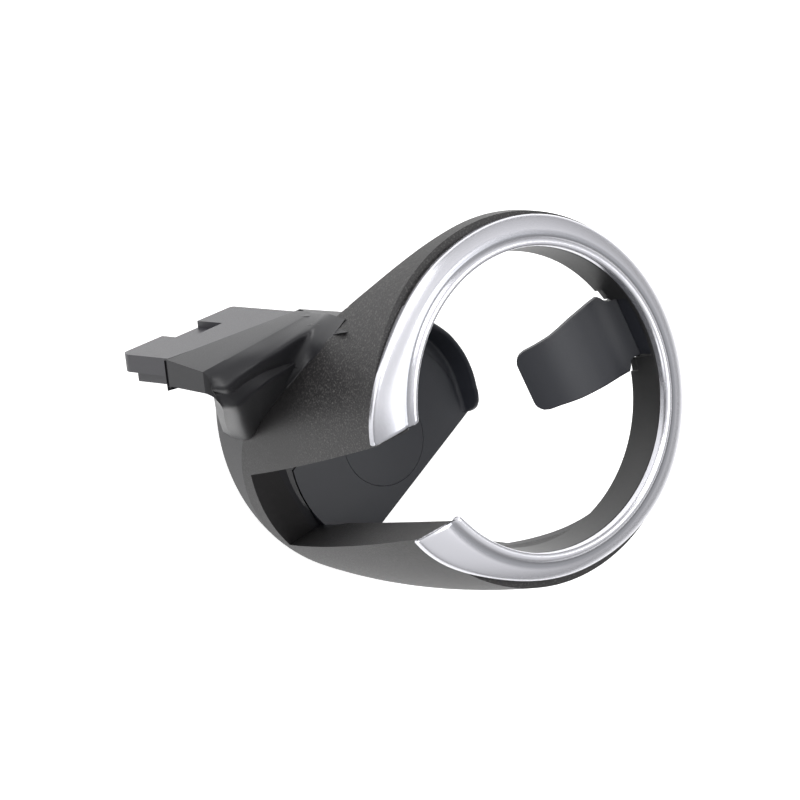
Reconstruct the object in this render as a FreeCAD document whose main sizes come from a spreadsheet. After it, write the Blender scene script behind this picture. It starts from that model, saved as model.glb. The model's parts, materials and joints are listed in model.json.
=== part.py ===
import FreeCAD, Part
import math
import os

import Sketcher

# A plug-in car cup holder. A C-shaped ring holds the cup, a curved spine under the open side of the
# ring carries a petal-shaped floor, and an oblique plug blade at the back pushes into the car.
# Z is the axis of the ring and the cup, Z = 0 is the top of the floor, and the slot for a mug's
# handle faces -X. The spring flap faces it from +X.

doc = FreeCAD.newDocument("CupHolder")
sheet = doc.addObject("Spreadsheet::Sheet", "Sizes")

SIZES = (
    # name, millimetres or degrees, what it is
    ("RingTop", 80.0, "height of the trim ring's bead over the floor"),
    ("BoreRadius", 39.2, "clear radius inside the ring"),
    ("LinerWall", 1.3, "wall of the black sleeve in the bore"),
    ("LinerDepth", 14.0, "how far the sleeve reaches below the bead"),
    ("BeadWidth", 2.4, "rounded inner bead of the trim ring"),
    ("TrimRadius", 48.0, "outer radius of the trim ring"),
    ("TrimDrop", 3.6, "fall of the trim band from bead to rim"),
    ("TrimWall", 1.2, "thickness of the trim ring"),
    ("ShellTopRadius", 48.6, "outer radius of the front shell under the trim"),
    ("ShellBottomRadius", 50.9, "outer radius of the shell above its bottom corner"),
    ("SideRadius", 370.0, "radius of the swelling side of the shells"),
    ("ShellWall", 2.3, "wall of the moulded shells"),
    ("BottomDepth", 11.3, "how far the rear shell reaches below the floor"),
    ("CornerRadius", 4.0, "rounding between the shell's side and its bottom"),
    ("SpineAzimuth", 195.0, "direction of the middle of the spine"),
    ("BandDepth", 10.2, "depth of the front shell on the thin side of the ring"),
    ("SweepRadius", 102.0, "radius of the sweep from the ring down to the spine"),
    ("SweepBlend", 40.0, "radius of the blend between the level band and the sweep"),
    ("SweepCentreOut", -58.7, "centre of the sweep along the spine's direction"),
    ("SweepCentreHeight", -14.3, "height of the centre of the sweep"),
    ("CoverBand", 2.8, "thickness of the rear shell along the sweep"),
    ("ColumnStart", 19.5, "where the spine's full wall begins, out from the ring's axis"),
    ("KeelRadius", 64.0, "radius of the seam under the spine, seen along the spine"),
    ("KeelCentreSide", 16.0, "centre of that seam to the side of the spine's middle"),
    ("KeelHeight", -8.6, "lowest height of that seam"),
    ("WebTop", -0.3, "height of the web between the floor and the spine"),
    ("RidgeShort", 10.6, "length of the neck's flat top along its near edge"),
    ("RidgeLong", 33.5, "length of the neck's flat top along its far edge"),
    ("NeckProud", 0.8, "how far the neck stands proud of the blade"),
    ("GussetNearX", -49.2, "near end of the gusset's foot along X"),
    ("GussetNearY", 3.0, "near end of the gusset's foot along Y"),
    ("GussetFarX", -25.0, "far end of the gusset's foot along X"),
    ("GussetFarY", 36.5, "far end of the gusset's foot along Y"),
    ("FootAlong", 9.5, "gusset's foot, from the near end of its chord"),
    ("FootHeight", -2.8, "height of the gusset's face at its foot"),
    ("FootDepth", 5.0, "depth of the gusset at its foot"),
    ("RootAlong", 47.0, "far end of the blade's root, from the near end of the chord"),
    ("RootHeight", 29.0, "height of the far end of the blade's root at the chord"),
    ("RidgeAlong", 40.0, "far end of the neck's ridge, from the near end of the chord"),
    ("RidgeHeight", 61.0, "height of the far end of the neck's ridge at the chord"),
    ("NeckHollowNear", 12.0, "radius of the hollow upper face at the near side of the neck"),
    ("NeckHollowFar", 75.0, "radius of the hollow upper face at the spine"),
    ("SlotWidth", 26.4, "width of the handle slot"),
    ("SlotLean", 6.0, "lean of the handle slot"),
    ("SlotBottom", 2.0, "height of the sill under the handle slot"),
    ("SillFall", 4.6, "fall of the sill to each side of its middle"),
    ("SeamGap", 0.15, "gap between pieces that lie side by side"),
    ("FloorRadius", 31.3, "radius of the round ends of the floor"),
    ("FloorCentreAcross", -6.0, "centre of the floor along X"),
    ("FloorCentreSide", -10.0, "centre of the floor along Y"),
    ("FloorAzimuth", 18.0, "direction of the floor's long axis"),
    ("FloorHalfWidth", 16.2, "half the width of the floor between its straight edges"),
    ("FloorThick", 2.6, "thickness of the floor"),
    ("LipHeight", 7.0, "height of the floor's upturned end"),
    ("PadRadius", 13.6, "radius of the pad let into the floor"),
    ("PadDepth", 1.2, "depth of the pad's recess"),
    ("PlugYaw", -9.6, "turn of the plug about Z"),
    ("PlugPitch", 24.0, "pitch of the plug"),
    ("PlugRoll", 13.7, "roll of the plug"),
    ("PlugTipX", -56.9, "middle of the plug's front edge along X"),
    ("PlugTipY", 52.5, "middle of the plug's front edge along Y"),
    ("PlugTipZ", 20.0, "middle of the plug's front edge along Z"),
    ("PlugWidth", 46.0, "width of the plug blade"),
    ("PlugCoverThick", 4.6, "thickness of the blade's upper plate"),
    ("PlugBaseThick", 2.8, "thickness of the blade's lower plate"),
    ("PlugShort", 14.4, "length of the blade along its near edge"),
    ("PlugLong", 22.0, "length of the blade along its far edge"),
    ("NotchWidth", 14.5, "width of the catch notch in the blade"),
    ("NotchLength", 8.0, "length of the catch notch along the blade"),
    ("NotchDepth", 1.8, "depth of the catch notch into the upper plate"),
    ("TongueHalf", 16.0, "half the width of the lower plate's tongue inside the neck"),
    ("FlapAzimuth", 1.0, "direction of the flap"),
    ("FlapRootHalf", 11.3, "half the width of the flap at the ring"),
    ("FlapTipHalf", 7.5, "half the width of the flap at its tip"),
    ("FlapThick", 1.7, "thickness of the flap"),
    ("FlapReach", 31.0, "how far the flap reaches in from the bore"),
    ("FlapTabHalf", 8.6, "half the width of the flap's tab in the bore wall"),
    ("PinRadius", 1.0, "radius of the flap's pin"),
    ("PinAcross", 42.0, "distance of the flap's pin from the ring's axis"),
    ("PinHeight", 73.3, "height of the flap's pin"),
    ("PinLength", 24.0, "length of the flap's pin"),
    ("SpringWire", 0.5, "thickness of the flap spring's wire"),
    ("SpringRadius", 1.4, "mean radius of the flap spring's coil"),
    ("SpringLength", 4.3, "length of the flap spring's coil"),
    ("ScrewShank", 0.9, "radius of the small screws' shanks"),
    ("ScrewHead", 1.8, "radius of the small screws' heads"),
    ("ScrewLength", 6.5, "length of the small screws under the head"),
)
for row, (alias, number, meaning) in enumerate(SIZES, start=1):
    sheet.set(f"A{row}", alias)
    sheet.set(f"B{row}", str(number))
    sheet.set(f"C{row}", meaning)
    sheet.setAlias(f"B{row}", alias)
doc.recompute()


def size(alias):
    """A driving dimension as a plain number."""
    return float(sheet.get(alias))


def bind(thing, **expressions):
    """Ties properties of an object to expressions over the sheet."""
    for prop, expression in expressions.items():
        thing.setExpression(prop, expression)


def turned(azimuth, position=(0, 0, 0)):
    """A place turned about Z."""
    spin = FreeCAD.Rotation(FreeCAD.Vector(0, 0, 1), azimuth)
    return FreeCAD.Placement(FreeCAD.Vector(*position), spin)


def plane_of(body, role):
    """One of a body's own origin planes."""
    return next(item for item in body.Origin.OriginFeatures if item.Role == role)


def draw(sketch, corners, arcs=()):
    """Draws a closed outline. Each corner is a pair of expressions, and arcs maps an edge's number to
    its radius and to 1 where it turns left or -1 where it turns right."""
    arcs = dict(arcs)
    points = [FreeCAD.Vector(*(float(sketch.evalExpression(e)) for e in c), 0) for c in corners]
    ends = []
    for number, start in enumerate(points):
        finish = points[(number + 1) % len(points)]
        if number not in arcs:
            edge = sketch.addGeometry(Part.LineSegment(start, finish))
            ends.append((edge, 1, 2))
            continue
        radius = float(sketch.evalExpression(arcs[number][0]))
        side = arcs[number][1]
        chord = finish - start
        rise = radius - math.sqrt(max(radius**2 - (chord.Length / 2) ** 2, 0))
        across = FreeCAD.Vector(chord.y, -chord.x, 0).normalize() * (side * rise)
        edge = sketch.addGeometry(Part.Arc(start, (start + finish) / 2 + across, finish))
        ends.append((edge, 1, 2) if side > 0 else (edge, 2, 1))
    for number, (edge, begin, _) in enumerate(ends):
        last_edge, _, last_end = ends[number - 1]
        sketch.addConstraint(Sketcher.Constraint("Coincident", last_edge, last_end, edge, begin))
        for kind, expression, value in (
            ("DistanceX", corners[number][0], points[number].x),
            ("DistanceY", corners[number][1], points[number].y),
        ):
            rule = sketch.addConstraint(Sketcher.Constraint(kind, -1, 1, edge, begin, value))
            sketch.setExpression(f"Constraints[{rule}]", expression)
        if number in arcs:
            radius = float(sketch.evalExpression(arcs[number][0]))
            rule = sketch.addConstraint(Sketcher.Constraint("Radius", edge, radius))
            sketch.setExpression(f"Constraints[{rule}]", arcs[number][0])
    return sketch


def circle(sketch, across, up, radius):
    """Draws a circle whose centre and radius are expressions."""
    at = FreeCAD.Vector(*(float(sketch.evalExpression(e)) for e in (across, up)), 0)
    round_edge = Part.Circle(at, FreeCAD.Vector(0, 0, 1), float(sketch.evalExpression(radius)))
    edge = sketch.addGeometry(round_edge)
    for kind, expression, value in (("DistanceX", across, at.x), ("DistanceY", up, at.y)):
        rule = sketch.addConstraint(Sketcher.Constraint(kind, -1, 1, edge, 3, value))
        sketch.setExpression(f"Constraints[{rule}]", expression)
    rule = sketch.addConstraint(Sketcher.Constraint("Radius", edge, round_edge.Radius))
    sketch.setExpression(f"Constraints[{rule}]", radius)
    return sketch


def body(label, placement=FreeCAD.Placement()):
    """A sub-part that is built from features."""
    thing = doc.addObject("PartDesign::Body", label)
    thing.Label = label
    thing.Placement = placement
    return thing


def profile(owner, name, role, corners, arcs=()):
    """A sketch on one of a body's origin planes."""
    sketch = owner.newObject("Sketcher::SketchObject", name)
    sketch.AttachmentSupport = (plane_of(owner, role), "")
    sketch.MapMode = "FlatFace"
    doc.recompute()
    return draw(sketch, corners, arcs)


def spun(owner, name, sketch, angle="360"):
    """Revolves a sketch about Z, half to each side of its plane."""
    feature = owner.newObject("PartDesign::Revolution", name)
    feature.Profile = sketch
    feature.ReferenceAxis = (sketch, ["V_Axis"])
    feature.Midplane = True
    bind(feature, Angle=angle)
    return feature


def padded(owner, name, sketch, length, reverse=False, midplane=False):
    feature = owner.newObject("PartDesign::Pad", name)
    feature.Profile = sketch
    feature.Reversed = reverse
    feature.Midplane = midplane
    bind(feature, Length=length)
    return feature


def tool_sketch(name, corners, arcs=(), placement=FreeCAD.Placement()):
    """A sketch that stands by itself, for a solid that only shapes others."""
    sketch = doc.addObject("Sketcher::SketchObject", name)
    doc.recompute()
    draw(sketch, corners, arcs)
    sketch.Placement = placement
    return sketch


UPRIGHT = FreeCAD.Placement(FreeCAD.Vector(), FreeCAD.Rotation(FreeCAD.Vector(1, 0, 0), 90))


def revolved(name, corners, arcs=()):
    """A full solid of revolution about Z, from a profile in radius and height."""
    solid = doc.addObject("Part::Revolution", name)
    solid.Source = tool_sketch(name + "_profile", corners, arcs, UPRIGHT)
    solid.Axis = FreeCAD.Vector(0, 0, 1)
    solid.Angle = 360
    solid.Solid = True
    return solid


def extruded(name, corners, arcs, placement, length, both_ways=True):
    """A solid drawn straight from a sketch, along the sketch's normal."""
    solid = doc.addObject("Part::Extrusion", name)
    solid.Base = tool_sketch(name + "_outline", corners, arcs, placement)
    solid.DirMode = "Normal"
    solid.Solid = True
    solid.Symmetric = both_ways
    bind(solid, LengthFwd=length)
    return solid


def joined(name, *parts):
    solid = doc.addObject("Part::MultiFuse", name)
    solid.Shapes = list(parts)
    solid.Refine = True
    return solid


def shared(name, *parts):
    solid = doc.addObject("Part::MultiCommon", name)
    solid.Shapes = list(parts)
    solid.Refine = True
    return solid


def less(name, base, tool):
    solid = doc.addObject("Part::Cut", name)
    solid.Base = base
    solid.Tool = tool
    solid.Refine = True
    return solid


# The trim ring is a C of thin moulded plastic with a rounded bead at the bore and a sloping band.
trim_ring = body("trim_ring")
trim_profile = profile(
    trim_ring,
    "trim_profile",
    "XZ_Plane",
    (
        ("Sizes.BoreRadius", "Sizes.RingTop - 3.4"),
        ("Sizes.BoreRadius + Sizes.TrimWall", "Sizes.RingTop - 3.4"),
        ("Sizes.BoreRadius + Sizes.BeadWidth", "Sizes.RingTop - 0.9 - Sizes.TrimWall"),
        ("Sizes.TrimRadius - Sizes.TrimWall", "Sizes.RingTop - Sizes.TrimDrop - Sizes.TrimWall"),
        ("Sizes.TrimRadius - Sizes.TrimWall", "Sizes.RingTop - Sizes.TrimDrop - 2.2"),
        ("Sizes.TrimRadius", "Sizes.RingTop - Sizes.TrimDrop - 2.2"),
        ("Sizes.TrimRadius", "Sizes.RingTop - Sizes.TrimDrop"),
        ("Sizes.BoreRadius + Sizes.BeadWidth", "Sizes.RingTop - 0.9"),
        ("Sizes.BoreRadius", "Sizes.RingTop - 1.2"),
    ),
    {6: ("Sizes.TrimRadius / 2", 1), 7: ("Sizes.BeadWidth * 0.56", 1)},
)
spun(trim_ring, "trim_spin", trim_profile)
trim_gap = profile(
    trim_ring,
    "trim_gap_outline",
    "XY_Plane",
    (
        ("-Sizes.TrimRadius - 5", "-Sizes.SlotWidth / 2"),
        ("-Sizes.BoreRadius / 2", "-Sizes.SlotWidth / 2"),
        ("-Sizes.BoreRadius / 2", "Sizes.SlotWidth / 2"),
        ("-Sizes.TrimRadius - 5", "Sizes.SlotWidth / 2"),
    ),
)
trim_opening = trim_ring.newObject("PartDesign::Pocket", "trim_gap")
trim_opening.Profile = trim_gap
trim_opening.Midplane = True
bind(trim_opening, Length="Sizes.RingTop * 3")

# The bore liner is a black sleeve under the bead, notched for the flap's tab and open at the slot.
bore_liner = body("bore_liner")
liner_profile = profile(
    bore_liner,
    "liner_profile",
    "XZ_Plane",
    (
        ("Sizes.BoreRadius - 0.5", "Sizes.RingTop - Sizes.LinerDepth"),
        ("Sizes.BoreRadius + Sizes.LinerWall", "Sizes.RingTop - Sizes.LinerDepth"),
        ("Sizes.BoreRadius + Sizes.LinerWall", "Sizes.RingTop - 3.4"),
        ("Sizes.BoreRadius", "Sizes.RingTop - 3.4"),
    ),
)
spun(bore_liner, "liner_spin", liner_profile)
LINER_OUT = "Sizes.BoreRadius * 1.2"
LINER_IN = "Sizes.BoreRadius / 2"
TAB_ROOM = "Sizes.FlapTabHalf + 0.3"
for name, low, high, half, notch_top in (
    ("liner_slot", "-" + LINER_OUT, "-" + LINER_IN, "Sizes.SlotWidth / 2 + 2.6", "Sizes.RingTop"),
    ("liner_notch", LINER_IN, LINER_OUT, TAB_ROOM, "Sizes.RingTop - 4.6"),
    ("liner_relief", LINER_IN, LINER_OUT, "Sizes.FlapRootHalf + 1", "Sizes.RingTop - Sizes.LinerDepth + 3"),
):
    outline = profile(
        bore_liner,
        name + "_outline",
        "XZ_Plane",
        ((low, "0"), (high, "0"), (high, notch_top), (low, notch_top)),
    )
    if low == LINER_IN:
        outline.AttachmentOffset = FreeCAD.Placement(
            FreeCAD.Vector(), FreeCAD.Rotation(FreeCAD.Vector(0, 1, 0), size("FlapAzimuth"))
        )
    cutter = bore_liner.newObject("PartDesign::Pocket", name)
    cutter.Profile = outline
    cutter.Midplane = True
    bind(cutter, Length=f"2 * ({half})")

# The outer form of both shells is one solid of revolution with a swelling side.
SHELL_TOP = "Sizes.RingTop - Sizes.TrimDrop - 2.35"
SHELL_BORE = "Sizes.BoreRadius + Sizes.LinerWall + Sizes.SeamGap"
OUTER_CORNERS = (
    (SHELL_BORE, "Sizes.RingTop - 3.55"),
    ("Sizes.BoreRadius + Sizes.BeadWidth + Sizes.SeamGap", "Sizes.RingTop - 1.2 - Sizes.TrimWall"),
    ("Sizes.TrimRadius - Sizes.TrimWall - Sizes.SeamGap", "Sizes.RingTop - Sizes.TrimDrop - 1.4"),
    ("Sizes.TrimRadius - Sizes.TrimWall - Sizes.SeamGap", SHELL_TOP),
    ("Sizes.ShellTopRadius", SHELL_TOP),
    ("Sizes.ShellBottomRadius", "Sizes.CornerRadius - Sizes.BottomDepth"),
    ("Sizes.ShellBottomRadius - Sizes.CornerRadius", "-Sizes.BottomDepth"),
    (SHELL_BORE, "-Sizes.BottomDepth"),
)
OUTER_ARCS = {4: ("Sizes.SideRadius", -1), 5: ("Sizes.CornerRadius", -1)}
outer_form = revolved("outer_form", OUTER_CORNERS, OUTER_ARCS)
INNER_CORNERS = (
    (SHELL_BORE, "Sizes.RingTop / 2 + 35"),
    ("Sizes.ShellTopRadius - Sizes.ShellWall - Sizes.SeamGap", "Sizes.RingTop / 2 + 35"),
    ("Sizes.ShellTopRadius - Sizes.ShellWall - Sizes.SeamGap", SHELL_TOP),
    ("Sizes.ShellBottomRadius - Sizes.ShellWall - Sizes.SeamGap", "Sizes.CornerRadius"),
    (SHELL_BORE, "Sizes.CornerRadius"),
)
cover_form = revolved(
    "cover_form", INNER_CORNERS, {2: ("Sizes.SideRadius - Sizes.ShellWall", -1)}
)

# The sweep is drawn in the upright plane of the spine: level under the thin side of the ring, then
# round a blend into one large arc that falls to the spine's seam.
SPINE_PLANE = turned(size("SpineAzimuth")).multiply(UPRIGHT)


def sweep_points(inset):
    """The level, the two ends of the blend and the foot of the sweep, moved in by an inset."""
    level = f"(Sizes.RingTop - Sizes.BandDepth - {inset})"
    large = f"(Sizes.SweepRadius - {inset})"
    blend = f"(Sizes.SweepBlend - {inset})"
    reach = "(Sizes.SweepRadius - Sizes.SweepBlend)"
    rise = f"({level} - {blend} - Sizes.SweepCentreHeight)"
    run = f"sqrt({reach}^2 - {rise}^2)"
    first = (f"Sizes.SweepCentreOut + {run}", level)
    second = (
        f"Sizes.SweepCentreOut + {run} * {large} / {reach}",
        f"Sizes.SweepCentreHeight + {rise} * {large} / {reach}",
    )
    return first, second, large, blend


def arc_out(height, large):
    """How far out the large arc is at a height."""
    return f"Sizes.SweepCentreOut + sqrt({large}^2 - ({height} - Sizes.SweepCentreHeight)^2)"


FAR = "Sizes.ShellBottomRadius + 30"
upper_start, upper_end, upper_large, upper_blend = sweep_points("0")
lower_start, lower_end, lower_large, lower_blend = sweep_points("Sizes.CoverBand")
SEAM = "Sizes.SweepCentreHeight"
sweep_side = extruded(
    "sweep_side",
    (
        ("-(" + FAR + ")", upper_start[1]),
        upper_start,
        upper_end,
        (arc_out(SEAM, upper_large), SEAM),
        (arc_out(SEAM, upper_large), "-Sizes.BottomDepth - 10"),
        (FAR, "-Sizes.BottomDepth - 10"),
        (FAR, "Sizes.RingTop + 20"),
        ("-(" + FAR + ")", "Sizes.RingTop + 20"),
    ),
    {1: (upper_blend, -1), 2: (upper_large, -1)},
    SPINE_PLANE,
    "Sizes.ShellBottomRadius * 4",
)

# Under the spine the seam turns to follow an arc seen along the spine, which clears its bottom corner.
KEEL_PLANE = turned(size("SpineAzimuth")).multiply(
    FreeCAD.Placement(FreeCAD.Vector(), FreeCAD.Rotation(FreeCAD.Vector(1, 1, 1), 120))
)
KEEL_EDGE = "(Sizes.KeelCentreSide - Sizes.KeelRadius)"
KEEL_TOP = "(Sizes.KeelHeight + Sizes.KeelRadius)"
keel_above = extruded(
    "keel_above",
    (
        (KEEL_EDGE, KEEL_TOP),
        ("Sizes.KeelCentreSide", "Sizes.KeelHeight"),
        ("Sizes.KeelCentreSide * 6", "Sizes.KeelHeight"),
        ("Sizes.KeelCentreSide * 6", "Sizes.RingTop + 30"),
        (KEEL_EDGE + " * 3", "Sizes.RingTop + 30"),
        (KEEL_EDGE + " * 3", KEEL_TOP),
    ),
    {0: ("Sizes.KeelRadius", 1)},
    KEEL_PLANE,
    "Sizes.ShellBottomRadius * 4",
)
front_region = shared("front_region", sweep_side, keel_above)
# The height of the inner arc where the spine's column begins.
COLUMN_REACH = "(Sizes.ColumnStart - Sizes.SweepCentreOut)"
COLUMN_TOP = f"Sizes.SweepCentreHeight + sqrt({lower_large}^2 - {COLUMN_REACH}^2)"
band_region = extruded(
    "band_region",
    (
        ("-(" + FAR + ")", upper_start[1]),
        ("-(" + FAR + ")", lower_start[1]),
        lower_start,
        lower_end,
        ("Sizes.ColumnStart", COLUMN_TOP),
        ("Sizes.ColumnStart", "-Sizes.BottomDepth - 10"),
        (FAR, "-Sizes.BottomDepth - 10"),
        (FAR, SEAM),
        (arc_out(SEAM, upper_large), SEAM),
        upper_end,
        upper_start,
    ),
    {2: (lower_blend, -1), 3: (lower_large, -1), 8: (upper_large, 1), 9: (upper_blend, 1)},
    SPINE_PLANE,
    "Sizes.ShellBottomRadius * 4",
)
keel_below = extruded(
    "keel_below",
    (
        (KEEL_EDGE, KEEL_TOP),
        (KEEL_EDGE + " * 3", KEEL_TOP),
        (KEEL_EDGE + " * 3", "-Sizes.BottomDepth - 10"),
        ("Sizes.KeelCentreSide * 6", "-Sizes.BottomDepth - 10"),
        ("Sizes.KeelCentreSide * 6", "Sizes.KeelHeight"),
        ("Sizes.KeelCentreSide", "Sizes.KeelHeight"),
    ),
    {5: ("Sizes.KeelRadius", -1)},
    KEEL_PLANE,
    "Sizes.ShellBottomRadius * 4",
)
column_region = extruded(
    "column_region",
    (
        ("Sizes.ColumnStart", "-Sizes.BottomDepth - 10"),
        (FAR, "-Sizes.BottomDepth - 10"),
        (FAR, "Sizes.RingTop"),
        ("Sizes.ColumnStart", "Sizes.RingTop"),
    ),
    {},
    SPINE_PLANE,
    "Sizes.ShellBottomRadius * 4",
)


# The handle slot leans over a little from the ring down to its sill.
def slot_corners(extra):
    half = f"(Sizes.SlotWidth / 2 + {extra})"
    drift = "(Sizes.RingTop * tan(Sizes.SlotLean))"
    top = "(Sizes.RingTop + 12)"
    return (
        (f"-{half} - {drift}", f"Sizes.SlotBottom - Sizes.SillFall - {extra}"),
        (f"{half} - {drift}", f"Sizes.SlotBottom + Sizes.SillFall - {extra}"),
        (half, "Sizes.RingTop - 4"),
        (half, top),
        (f"-{half}", top),
        (f"-{half}", "Sizes.RingTop - 4"),
    )


SLOT_PLANE = FreeCAD.Placement(
    FreeCAD.Vector(), FreeCAD.Rotation(FreeCAD.Vector(1, 1, 1), 120)
)
slot = extruded("slot", slot_corners("0"), {}, SLOT_PLANE, "-Sizes.ShellBottomRadius * 1.5", False)
slot_walls = extruded(
    "slot_walls",
    slot_corners("Sizes.ShellWall"),
    {},
    SLOT_PLANE,
    "-Sizes.ShellBottomRadius * 1.5",
    False,
)

# The floor is a petal: a disc with two straight sides, an upturned far end and a recess for its pad.
FLOOR_PLACE = turned(
    size("FloorAzimuth"), (size("FloorCentreAcross"), size("FloorCentreSide"), 0)
)


def petal(radius, half):
    """The corners and arcs of the petal's outline about its own centre."""
    reach = f"sqrt(({radius})^2 - ({half})^2)"
    corners = (
        (reach, f"-({half})"),
        (reach, half),
        (f"-{reach}", half),
        (f"-{reach}", f"-({half})"),
    )
    return corners, {0: (radius, 1), 2: (radius, 1)}


petal_room = extruded(
    "petal_room",
    *petal("Sizes.FloorRadius + 0.3", "Sizes.FloorHalfWidth + 0.3"),
    turned(
        size("FloorAzimuth"),
        (size("FloorCentreAcross"), size("FloorCentreSide"), -size("FloorThick") - 0.02),
    ),
    "Sizes.FloorThick + Sizes.LipHeight * 2",
    False,
)

# The front shell is a thick-walled C that is hollow inside, open below along the sweep.
channel = revolved(
    "channel",
    (
        (SHELL_BORE + " + Sizes.ShellWall", "-Sizes.BottomDepth - 5"),
        ("Sizes.ShellBottomRadius - Sizes.ShellWall", "-Sizes.BottomDepth - 5"),
        ("Sizes.ShellBottomRadius - Sizes.ShellWall", "Sizes.CornerRadius - Sizes.BottomDepth"),
        ("Sizes.ShellTopRadius - Sizes.ShellWall", SHELL_TOP + " - Sizes.ShellWall"),
        (SHELL_BORE + " + Sizes.ShellWall", "Sizes.RingTop - 3.55 - Sizes.ShellWall"),
    ),
    {2: ("Sizes.SideRadius - Sizes.ShellWall", 1)},
)
hollow = less("hollow", channel, slot_walls)
flap_place = turned(size("FlapAzimuth"))


def box(name, place, **sizes):
    """A block whose sides and start are expressions, turned by a placement."""
    solid = doc.addObject("Part::Box", name)
    low = [float(sheet.evalExpression(sizes[side][0].replace("Sizes.", ""))) for side in "xyz"]
    solid.Placement = place.multiply(FreeCAD.Placement(FreeCAD.Vector(*low), FreeCAD.Rotation()))
    bind(solid, Length=sizes["x"][1], Width=sizes["y"][1], Height=sizes["z"][1])
    return solid


flap_well = box(
    "flap_well",
    flap_place,
    x=("Sizes.BoreRadius - 3", "Sizes.TrimRadius - Sizes.BoreRadius + 2.3"),
    y=(f"-({TAB_ROOM})", f"2 * ({TAB_ROOM})"),
    z=("Sizes.PinHeight - 15", "17.1"),
)
ears = [
    box(
        f"ear_{side}",
        flap_place,
        x=("Sizes.PinAcross - 1.6", "3.8"),
        y=(start, "3.4"),
        z=("Sizes.PinHeight - 2.2", "4.0"),
    )
    for side, start in (("left", TAB_ROOM), ("right", f"-({TAB_ROOM}) - 3.4"))
]


def pin_cylinder(name, radius, length, place=flap_place):
    """A cylinder along the flap's axis."""
    solid = doc.addObject("Part::Cylinder", name)
    bind(solid, Radius=radius, Height=length)
    half = float(sheet.evalExpression(length.replace("Sizes.", ""))) / 2
    start = FreeCAD.Vector(size("PinAcross"), -half, size("PinHeight"))
    lie = FreeCAD.Rotation(FreeCAD.Vector(1, 0, 0), -90)
    solid.Placement = place.multiply(FreeCAD.Placement(start, lie))
    return solid


pin_room = pin_cylinder("pin_room", "Sizes.PinRadius + 0.02", "Sizes.PinLength + 1.2")


def screw_form(name, place, head, shank, height, length, sunk=False):
    """A screw's solid, or the room for one. It stands head down with the head's seat at its place."""
    solid = doc.addObject("Part::Revolution", name)
    corners = (
        ("0", f"-({height})"),
        (head, f"-({height})"),
        (shank if sunk else head, "0"),
        (shank, "0.01"),
        (shank, f"{length} - 0.6"),
        (f"({shank}) / 2", length),
        ("0", length),
    )
    solid.Source = tool_sketch(name + "_profile", corners, (), UPRIGHT)
    solid.Axis = FreeCAD.Vector(0, 0, 1)
    solid.Angle = 360
    solid.Solid = True
    solid.Placement = place
    return solid


def screws(label, places, height, length, sunk=False):
    """Identical screws with a cross in the head, as a group of separate solids, and their rooms."""
    made = []
    rooms = []
    for number, place in enumerate(places, start=1):
        name = f"{label}_{number}"
        plain = screw_form(
            name + "_plain", place, "Sizes.ScrewHead", "Sizes.ScrewShank", height, length, sunk
        )
        bars = []
        for turn in (0, 90):
            bar = doc.addObject("Part::Box", f"{name}_bar_{turn}")
            bind(bar, Length="Sizes.ScrewHead * 1.3", Width="0.5", Height="0.5")
            corner = FreeCAD.Vector(-size("ScrewHead") * 0.65, -0.25, -float(height))
            across = FreeCAD.Placement(FreeCAD.Vector(), FreeCAD.Rotation(turn, 0, 0))
            bar.Placement = place.multiply(across).multiply(FreeCAD.Placement(corner, FreeCAD.Rotation()))
            bars.append(bar)
        made.append(less(name, plain, joined(name + "_cross", *bars)))
        rooms.append(
            screw_form(
                name + "_room",
                place,
                "Sizes.ScrewHead + 0.12",
                "Sizes.ScrewShank + 0.02",
                height if sunk else "8",
                f"{length} + 0.5",
                sunk,
            )
        )
    group = doc.addObject("Part::Compound", label)
    group.Label = label
    group.Links = made
    return group, rooms


# Three screws come up through the thin side of the ring's underside into bosses of the front shell.
BAND_UNDER = size("RingTop") - size("BandDepth") - size("CoverBand")
BOSS_OUT = (size("BoreRadius") + size("TrimRadius")) / 2 + 0.6
BOSS_AZIMUTHS = (-62, 36, 92)
shell_screws, shell_screw_rooms = screws(
    "shell_screws",
    [
        turned(azimuth).multiply(
            FreeCAD.Placement(FreeCAD.Vector(BOSS_OUT, 0, BAND_UNDER + 1.3), FreeCAD.Rotation())
        )
        for azimuth in BOSS_AZIMUTHS
    ],
    "1.1",
    "Sizes.ScrewLength",
)
bosses = []
for azimuth in BOSS_AZIMUTHS:
    boss = doc.addObject("Part::Cylinder", "boss")
    bind(boss, Radius="Sizes.ScrewHead + 0.5", Height="Sizes.BandDepth - 5")
    seat = FreeCAD.Vector(BOSS_OUT, 0, BAND_UNDER + size("CoverBand"))
    boss.Placement = turned(azimuth).multiply(FreeCAD.Placement(seat, FreeCAD.Rotation()))
    bosses.append(boss)

front_raw = shared("front_raw", outer_form, front_region)
front_hollow = less("front_hollow", front_raw, hollow)
front_bossed = joined("front_bossed", front_hollow, *bosses)
front_open = less("front_open", front_bossed, joined("front_openings", slot, petal_room, flap_well))
front_shell = less(
    "front_shell",
    joined("front_with_ears", front_open, *ears),
    joined("front_holes", pin_room, *shell_screw_rooms),
)
front_shell.Label = "front_shell"

# The plug blade stands oblique behind the spine. Its own frame has X across the blade, Y out of its
# face and Z along the way it pulls out of the car.
PLUG = FreeCAD.Placement(
    FreeCAD.Vector(size("PlugTipX"), size("PlugTipY"), size("PlugTipZ")),
    FreeCAD.Rotation(size("PlugYaw"), size("PlugPitch"), size("PlugRoll")),
)


BLADE_THICK = "(Sizes.PlugCoverThick + Sizes.PlugBaseThick)"
NECK_PROUD = size("NeckProud")
NECK_HALF = size("PlugWidth") / 2 + NECK_PROUD
NECK_LOW = -size("PlugCoverThick") - size("PlugBaseThick") - NECK_PROUD

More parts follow.
